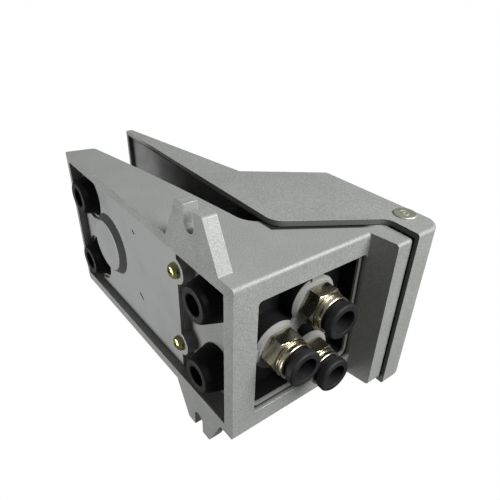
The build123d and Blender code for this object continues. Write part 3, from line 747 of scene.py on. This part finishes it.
@dataclass
class PanScrews:
    """Pan head screws with a cross recess and a threaded shank, heights running into the hole."""

    name: str
    spots: Sequence[Vector]
    facing: Facing
    head: float
    head_height: float
    length: float
    thread_radius: float = 2.0
    pitch: float = 0.7
    thread_depth: float = 0.32
    recess_mouth: tuple = (1.35, 0.36, 1.2)
    recess_root: tuple = (0.6075, 0.2709, 0.3)

    def recess(self) -> Mesh:
        """Return the tapering cross that cuts the recess, its sizes as shares of the head's."""
        arms = bmesh.new()
        for turn in (0, math.pi / 2):
            arm = bmesh.ops.create_cube(arms, size=1.0)["verts"]
            for vert in arm:
                length, width, depth = self.recess_mouth if vert.co.z < 0 else self.recess_root
                across = vert.co.x * length * self.head, vert.co.y * width * self.head
                vert.co = Vector((*across, -depth * self.head_height)) * MM
            bmesh.ops.rotate(arms, verts=arm, cent=(0, 0, 0), matrix=Matrix.Rotation(turn, 3, "Z"))
        return from_bmesh("cross_cutter", arms)

    def screw(self) -> Mesh:
        """Return one screw at the origin, its head towards minus Z."""
        r, h = self.head, self.head_height
        dome = [
            (0.0, 0.0), (0.0, -h), (0.45 * r, -0.97 * h), (0.75 * r, -0.8 * h), (0.93 * r, -0.5 * h),
            (r, -0.18 * h), (r, 0.0),
        ]
        head = turned("dome", softened(dome, 0.12 * r, 3), UNMOVED, 40)
        helix = thread(self.thread_radius - 0.08, self.pitch, self.thread_depth, 0.0, self.length)
        heights = even(0.0, self.length, math.ceil(8 * self.length / self.pitch))
        shank = swept_skin("shank", helix, heights, UNMOVED, 20)
        plain = joined(bpy.data.meshes.new(f"{self.name}_screw"), head, shank)
        return carved(plain, ("DIFFERENCE", self.recess()))

    def build(self, finish: Material, slot: str, node: str) -> None:
        """Build the screws that stand for a node as one piece and seat it on the base."""
        turn = self.facing.placed(Vector()).to_euler()
        seat(repeated(self.name, self.screw(), self.spots, finish, tuple(turn)), node)


@dataclass
class Underside:
    """The cover plate, its screws, the four rubber feet, what holds them and the stop buffers."""

    finishes: Finishes
    foot_spots: dict[str, tuple[float, float]] = field(default_factory=lambda: {
        "foot_rear_left": (24.0, 19.5),
        "foot_rear_right": (24.0, -19.5),
        "foot_toe_left": (137.0, 19.5),
        "foot_toe_right": (137.0, -19.5),
    })
    seat_height: float = 9.2
    mouth: float = -2.5
    mouth_radius: float = 8.5
    root_radius: float = 11.4
    bore: float = 4.6
    web: float = 5.7
    screw_hole: float = 2.1
    washer_radius: float = 4.3
    washer_height: float = 0.8
    plate_screw: tuple = (47.8, 20.4, 4.0)
    buffer: tuple = (130.0, 22.0)
    buffer_radius: float = 5.5
    buffer_stem: float = 2.3

    def foot(self, name: str) -> Object:
        """Return the rubber foot that stands for a node, with its rolled mouth and moulded neck."""
        low, top, bore, hole = self.mouth, self.seat_height, self.bore, self.screw_hole
        mouth, root = self.mouth_radius, self.root_radius
        profile = [
            (bore, low + 0.5), (bore + 0.7, low), (mouth - 0.7, low), (mouth, low + 1.0),
            (mouth + 0.35, low + 2.2), (root - 0.25, top - 1.6), (root, top - 1.2), (root, top), (hole, top),
            (hole, self.web), (bore, self.web),
        ]
        place = Facing.UP.placed(at(*self.foot_spots[name], 0))
        mesh = turned(name, softened(profile, 0.6), place, 96)
        return to_object(f"{name}_rubber", mesh, self.finishes.rubber, 50)

    def fasteners(self) -> None:
        """Build the washers and screws of the feet, and the screws of the cover plate."""
        zinc = self.finishes.bright_zinc
        spots = [at(x, y, self.web - self.washer_height) for x, y in self.foot_spots.values()]
        hole, rim, thick = self.screw_hole, self.washer_radius, self.washer_height
        washer = [(hole, 0.0), (rim, 0.0), (rim, thick), (hole, thick)]
        shape = turned("foot_washer", softened(washer, 0.15, 2), UNMOVED, 48)
        seat(repeated("foot_washer_rings", shape, spots, zinc), "foot_washers")
        screws = PanScrews("foot_pan_screws", spots, Facing.UP, head=3.8, head_height=2.8, length=6.3)
        screws.build(zinc, "bright_zinc", "foot_screws")
        x, y, z = self.plate_screw
        spots = [at(x, y, z), at(x, -y, z)]
        screws = PanScrews("plate_pan_screws", spots, Facing.UP, head=3.9, head_height=2.8, length=4.9)
        screws.build(self.finishes.yellow_zinc, "yellow_zinc", "cover_screws")

    def buffers(self) -> None:
        """Build the stop buffers on their stems."""
        x, y = self.buffer
        top = levels_of("stop_buffers")[1]
        stem, cap = self.buffer_stem, self.buffer_radius
        stub = [
            (0, top - 9.0), (stem, top - 9.0), (stem, top - 5.2), (cap, top - 5.2), (cap, top - 0.8),
            (cap - 0.9, top), (0, top),
        ]
        shape = turned("buffer", softened(stub, 0.5), UNMOVED, 48)
        piece = repeated("deck_buffers", shape, [at(x, y, 0), at(x, -y, 0)], self.finishes.rubber)
        seat(piece, "stop_buffers")

    def build(self) -> None:
        """Build the underside and seat its pieces."""
        for name in self.foot_spots:
            seat(self.foot(name), name)
        self.fasteners()
        dress("bottom_cover", self.finishes.sheet)
        self.buffers()


@dataclass
class PushInFitting:
    """One push-in fitting: hexagon, grooved barrel, seal, grip ring and release collar."""

    port: str
    y: float
    z: float
    finishes: Finishes
    face: float = 2.0
    hex_flats: float = 17.0
    hex_height: float = 7.5
    hex_chamfer: float = 1.2
    barrel: float = 8.4
    barrel_end: float = 11.5
    groove: float = 0.7
    shank: float = 6.5
    shank_end: float = -9.0
    pitch: float = 1.34
    flow: float = 4.0
    pocket: float = 6.9
    tube: float = 5.1
    collar_bore: float = 5.3
    collar_sleeve: float = 6.6
    collar_flange: float = 13.2
    collar_radius: float = 8.2
    collar_face: float = 17.0
    teeth: int = 20

    def place(self) -> Matrix:
        """Return where the fitting's axis stands, heights running outwards."""
        return Facing.REAR.placed(at(self.face, self.y, self.z))

    def body(self) -> Object:
        """Return the plated body with its threaded shank, bored through."""
        place, top = self.place(), self.hex_height
        heights = [0.0, 0.15, 0.3, 0.5, 0.7, 0.95, 1.2, 3.5, 6.3, 6.55, 6.8, 7.0, 7.2, 7.35, top]
        skin = swept_skin("hexagon", hexagon(self.hex_flats, top, self.hex_chamfer), heights, place, 96)
        b, e, g = self.barrel, self.barrel_end, self.barrel - self.groove
        ring = [
            (self.pocket, top - 0.2), (g, top - 0.2), (g, e - 3.6), (b, e - 3.45), (b, e - 2.85),
            (g, e - 2.7), (g, e - 1.8), (b, e - 1.65), (b, e - 0.35), (b - 0.3, e), (self.pocket, e),
        ]
        barrel = turned("barrel", softened(ring, 0.2, 3), place, 96)
        outside = joined(bpy.data.meshes.new(f"{self.port}_body"), skin, barrel)
        helix = thread(self.shank, self.pitch, 0.6, self.shank_end, -0.6)
        shank = swept_skin("shank", helix, even(self.shank_end, 0.2, 60), place, 48)
        bore = [
            (0, -9.5), (self.flow, -9.5), (self.flow, -5.0), (self.tube, -5.0), (self.tube, 0.6),
            (self.pocket, 0.6), (self.pocket, 20), (0, 20),
        ]
        mesh = carved(outside, ("UNION", shank), ("DIFFERENCE", turned("bore", bore, place, 64)))
        return to_object(f"{self.port}_fitting_body", mesh, self.finishes.fitting, 28)

    def collar(self) -> Object:
        """Return the black release collar with its flared mouth."""
        r, f, low = self.collar_radius, self.collar_face, self.collar_flange
        hole, sleeve = self.collar_bore, self.collar_sleeve
        profile = [
            (hole, 5.0), (6.0, 5.0), (sleeve, 6.2), (sleeve, low), (r - 0.5, low), (r - 0.1, low + 0.5),
            (r, f - 0.7), (r - 0.6, f), (hole + 0.2, f), (hole, f - 0.2),
        ]
        mesh = turned(f"{self.port}_collar", softened(profile, 0.3), self.place(), 96)
        return to_object(f"{self.port}_collar", mesh, self.finishes.collar, 40)

    def seal(self) -> Object:
        """Return the tube seal, a lipped ring."""
        profile = [(5.15, 0.9), (5.6, 0.62), (6.8, 0.62), (6.8, 2.15), (5.7, 2.15), (5.15, 1.9)]
        mesh = turned(f"{self.port}_seal", softened(profile, 0.25), self.place(), 64)
        return to_object(f"{self.port}_lip_seal", mesh, self.finishes.seal, 50)

    def tooth(self) -> Mesh:
        """Return one tooth of the grip ring, leaning inwards."""
        shape = bmesh.new()
        half = math.pi / self.teeth * 0.72
        root, tip = half * 1.25, half * 0.75
        corners = [(6.8, root, 3.0), (6.8, -root, 3.0), (5.35, -tip, 2.65), (5.35, tip, 2.65)]
        low, high = ([shape.verts.new(polar(r, a, h + lift)) for r, a, h in corners] for lift in (0.0, 0.3))
        shape.faces.new(low)
        shape.faces.new(high)
        band(shape, low, high)
        return from_bmesh("tooth", shape)

    def grip(self) -> Object:
        """Return the toothed grip ring, its teeth set round by geometry nodes."""
        source = bpy.data.objects.new("tooth", self.tooth())
        recipe = Recipe(f"{self.port}_grip_teeth", self.finishes.bright_zinc, {
            "Shape": ("NodeSocketObject", source),
            "Count": ("NodeSocketInt", self.teeth),
        })
        count = recipe.given["Count"]
        line = recipe.add("GeometryNodeMeshLine", {
            "Count": count, "Start Location": (0, 0, 0), "Offset": (0, 0, 0)
        }).outputs["Mesh"]
        index = recipe.add("GeometryNodeInputIndex").outputs["Index"]
        angle = recipe.math("DIVIDE", recipe.math("MULTIPLY", index, math.tau), count)
        turn = recipe.add("ShaderNodeCombineXYZ", {"Z": angle}).outputs["Vector"]
        piece = recipe.baked(recipe.copies(line, turn), [Vector()])
        bpy.data.objects.remove(source)
        ring = [(6.55, 2.95), (6.84, 2.95), (6.84, 3.55), (6.55, 3.55)]
        rim = turned("grip_rim", ring, UNMOVED, 80)
        joined(piece.data, piece.data, rim).transform(self.place())
        return piece

    def build(self) -> None:
        """Build the fitting and seat its pieces."""
        seat(self.body(), f"{self.port}_fitting")
        seat(self.seal(), f"{self.port}_tube_seal")
        seat(self.grip(), f"{self.port}_grip_ring")
        seat(self.collar(), f"{self.port}_release_collar", f"{self.port}_collar")


@dataclass
class Hinge:
    """The hinge pin with its centre mark, and the clip on its far end."""

    finishes: Finishes
    height: float = 90.996
    half_width: float = 43.0
    pin: float = 2.5
    head: float = 5.2
    head_height: float = 0.6
    tail: float = 1.9
    clip_radius: float = 4.5
    clip_inside: float = 2.9
    clip_lug: float = 2.05
    clip_mouth: float = 32.0

    def build(self) -> None:
        """Build the pin and its clip."""
        top, under, end = self.half_width + self.head_height, self.half_width, -self.half_width - self.tail
        neck, groove = -self.half_width, self.pin - 0.5
        profile = [
            (0.0, top - 0.4), (0.5, top - 0.25), (0.9, top - 0.05), (1.9, top - 0.05), (2.1, top - 0.2),
            (2.4, top), (self.head - 0.35, top), (self.head, top - 0.3), (self.head, under),
            (self.pin, under), (self.pin, neck - 0.05), (groove, neck - 0.05), (groove, neck - 0.9),
            (self.pin, neck - 0.9), (self.pin, end + 0.4), (self.pin - 0.4, end), (0.0, end),
        ]
        place = Facing.LEFT.placed(at(0, 0, self.height))
        mesh = turned("hinge_pin", softened(profile, 0.25, 3), place)
        seat(to_object("hinge_pin_turned", mesh, self.finishes.pin, 40), "hinge_pin", "pedal")
        seat(self.clip(), "hinge_clip", "pedal")

    def clip(self) -> Object:
        """Return the open clip with its three inner lugs."""
        shape = bmesh.new()
        steps, gap = 72, math.radians(self.clip_mouth)
        near, far = [], []
        for index, angle in enumerate(even(gap, math.tau - gap, steps)):
            lug = abs(((angle / math.pi * 1.5) % 1.0) - 0.5) < 0.16
            near.append((self.clip_lug if lug or index in (0, steps) else self.clip_inside, angle))
            far.append((self.clip_radius, angle))
        outline = far + near[::-1]
        low, high = ([shape.verts.new(polar(r, a, level)) for r, a in outline] for level in (0.05, 0.8))
        for ring in (low, high):
            for index in range(steps):
                shape.faces.new((ring[index], ring[index + 1], ring[-index - 2], ring[-index - 1]))
        band(shape, low, high)
        mesh = from_bmesh("hinge_clip", shape)
        spin = Matrix.Rotation(math.pi / 2, 4, "Z")
        mesh.transform(Facing.RIGHT.placed(at(0, -self.half_width, self.height)) @ spin)
        return to_object("hinge_clip_ring", mesh, self.finishes.spring, 35)


@dataclass
class Actuator:
    """The adjusting screw and lock nut under the pedal's crown."""

    finishes: Finishes
    radius: float = 3.0
    pitch: float = 1.0
    thread_depth: float = 0.5
    nut_flats: float = 10.0
    nut_height: float = 3.2
    nut_chamfer: float = 0.6

    def build(self) -> None:
        """Build the screw and the nut."""
        zinc = self.finishes.bright_zinc
        low, high = levels_of("actuator_screw")
        helix = thread(self.radius - 0.06, self.pitch, self.thread_depth, low + 0.6, high)
        place = Facing.UP.placed(at(SPOOL_X, 0, 0))
        skin = swept_skin("actuator_thread", helix, even(low, high, 70), place, 40)
        seat(to_object("actuator_thread", skin, zinc, 30), "actuator_screw", "pedal")
        place = Facing.UP.placed(at(SPOOL_X, 0, levels_of("actuator_nut")[0]))
        heights = [0.0, 0.15, 0.3, 0.45, 0.6, 1.6, 2.6, 2.75, 2.9, 3.05, self.nut_height]
        sides = hexagon(self.nut_flats, self.nut_height, self.nut_chamfer)
        skin = swept_skin("actuator_nut", sides, heights, place)
        seat(to_object("actuator_lock_nut", skin, zinc, 28), "actuator_nut", "pedal")


@dataclass
class SpoolValve:
    """The spool with its seals and return spring, closed by a gland and a plug."""

    finishes: Finishes
    closure_radius: float = 5.95
    gland_bore: float = 3.55
    coil: Coil = Coil("spool_coil", SPOOL_X, radius=4.0, wire=0.55, turns=4.0, keep=0.56)

    def closure(self, name: str, node: str, inner: float) -> None:
        """Build a turned brass ring that fills a node's height.

        Args:
            name: The piece's name.
            node: The node it stands for.
            inner: Inner radius, in mm.
        """
        low, high = levels_of(node)
        outer = self.closure_radius
        profile = [
            (inner, low), (outer - 0.5, low), (outer, low + 0.5), (outer, high - 0.5), (outer - 0.5, high),
            (inner, high),
        ]
        mesh = turned(name, softened(profile, 0.2, 2), Facing.UP.placed(at(SPOOL_X, 0, 0)), 48)
        seat(to_object(name, mesh, self.finishes.brass), node)

    def build(self) -> None:
        """Build the closures and the spring, and dress the spool."""
        dress("valve_spool", self.finishes.spool)
        dress("spool_seals", self.finishes.seal)
        self.closure("spool_gland_ring", "spool_gland", self.gland_bore)
        self.closure("spool_plug_disc", "spool_plug", 0.0)
        self.coil.build(self.finishes.spring, "spool_spring", "spool_slide")


@dataclass
class Castings:
    """The base, the pedal, the port frame, the valve block and the screws that join them."""

    finishes: Finishes
    block_screw: tuple = (33.0, 25.2, 43.4)

    def build(self) -> None:
        """Dress the castings and build the screws that join them."""
        dress("base_casting", self.finishes.base)
        dress("pedal", self.finishes.cast)
        dress("port_frame", self.finishes.block)
        dress("valve_block", self.finishes.black)
        x, y, z = self.block_screw
        spots = [at(x, y, z), at(x, -y, z)]
        screws = PanScrews("block_pan_screws", spots, Facing.REAR, head=3.6, head_height=2.6, length=25.0)
        screws.build(self.finishes.bright_zinc, "bright_zinc", "block_screws")


@dataclass(frozen=True)
class Lamp:
    """A soft square lamp that looks at the valve, placed and sized in metres, its power in watts."""

    name: str
    place: tuple
    side: float
    power: float

    def hang(self) -> None:
        """Add the lamp to the scene."""
        data = bpy.data.lights.new(self.name, "AREA")
        data.shape, data.size, data.energy = "SQUARE", self.side, self.power
        lamp = bpy.data.objects.new(self.name, data)
        lamp.location = self.place
        lamp.rotation_mode = "QUATERNION"
        lamp.rotation_quaternion = (-Vector(self.place)).to_track_quat("-Z", "Y")
        bpy.context.scene.collection.objects.link(lamp)


@dataclass
class Studio:
    """A pale floor, soft lamps and the camera at the photograph's viewing angle."""

    eye: tuple = (-179.4, 138.1, -75.4)
    right: tuple = (-0.63853, 0.05882, 0.76735)
    up: tuple = (0.47449, 0.81511, 0.33235)
    lens: float = 35.31
    shift: tuple = (-0.0572, 0.066)
    world_light: float = 0.14
    floor_side: float = 0.6
    floor_fade: tuple = (0.42, 0.12)
    lamps: tuple = (
        Lamp("key", (-0.88, 0.85, 0.36), 0.9, 37.0),
        Lamp("fill", (0.6, -0.35, -1.05), 0.8, 13.5),
        Lamp("front", (1.0, -0.8, 0.9), 1.0, 40.0),
    )

    def camera(self) -> None:
        """Place the camera."""
        data = bpy.data.cameras.new("view")
        data.lens, data.sensor_width = self.lens, 36.0
        data.shift_x, data.shift_y = self.shift
        data.clip_start, data.clip_end = 0.005, 20.0
        camera = bpy.data.objects.new("view", data)
        right, up = Vector(self.right), Vector(self.up)
        turn = Matrix((right, up, right.cross(up))).transposed()
        camera.matrix_world = Matrix.Translation(Vector(self.eye) * MM) @ turn.to_4x4()
        bpy.context.scene.collection.objects.link(camera)
        bpy.context.scene.camera = camera

    def world(self) -> None:
        """Make the world white where it is seen and a plain grey where it lights."""
        world = bpy.data.worlds.new("studio_world")
        world.use_nodes = True
        nodes = Nodes(world.node_tree)
        path = nodes.add("ShaderNodeLightPath").outputs
        seen = nodes.math("MAXIMUM", path["Is Camera Ray"], path["Is Transmission Ray"])
        level = nodes.step(seen, 0.0, 1.0, self.world_light, 1.0)
        nodes.feed(nodes.tree.nodes["Background"], {"Color": (1, 1, 1, 1), "Strength": level})
        bpy.context.scene.world = world

    def floor(self) -> None:
        """Lay a pale floor that is seen from above only and fades out, so the view from below stays open."""
        mesh = bpy.data.meshes.new("floor")
        side = self.floor_side
        corners = [(-side, -side, 0), (side, -side, 0), (side, side, 0), (-side, side, 0)]
        mesh.from_pydata(corners, [], [(0, 1, 2, 3)])
        paint = Paint("pale_floor")
        paint.surface({"Base Color": (0.8, 0.8, 0.79, 1), "Roughness": 0.8})
        seen = paint.add("ShaderNodeLightPath").outputs["Is Camera Ray"]
        below = paint.add("ShaderNodeNewGeometry").outputs["Backfacing"]
        front = paint.add("ShaderNodeMath", {0: seen, 1: below}, operation="SUBTRACT", use_clamp=True)
        far = paint.add("ShaderNodeVectorMath", {0: paint.coords}, operation="LENGTH").outputs["Value"]
        fade = paint.step(far, *self.floor_fade, interpolation_type="SMOOTHSTEP")
        clear = paint.add("ShaderNodeBsdfTransparent").outputs[0]
        share = paint.product(front.outputs[0], fade)
        mix = paint.add("ShaderNodeMixShader", {0: share, 1: clear, 2: paint.shader.outputs[0]})
        paint.feed(paint.tree.nodes["Material Output"], {"Surface": mix.outputs[0]})
        mesh.materials.append(paint.material)
        floor = bpy.data.objects.new("floor", mesh)
        bpy.context.scene.collection.objects.link(floor)

    def build(self) -> None:
        """Build the studio."""
        self.camera()
        self.world()
        self.floor()
        for lamp in self.lamps:
            lamp.hang()
        bpy.context.scene.view_settings.view_transform = "Standard"


def main() -> None:
    """Build the studio and every piece."""
    logging.basicConfig(level=logging.INFO, format="%(name)s: %(message)s")
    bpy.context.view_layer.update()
    finishes = Finishes()
    Studio().build()
    Castings(finishes).build()
    Underside(finishes).build()
    for port, y, z in (("outlet_a", 15.0, 43.4), ("supply", 0.0, 24.6), ("outlet_b", -15.0, 43.4)):
        PushInFitting(port, y, z, finishes).build()
    Hinge(finishes).build()
    Actuator(finishes).build()
    SpoolValve(finishes).build()
    return_coil = Coil("pedal_coil", 115.4, radius=8.0, wire=1.1, turns=7.0, keep=0.495)
    return_coil.build(finishes.spring, "pedal_return_spring", "pedal_hinge")


if __name__ == "__main__":
    main()
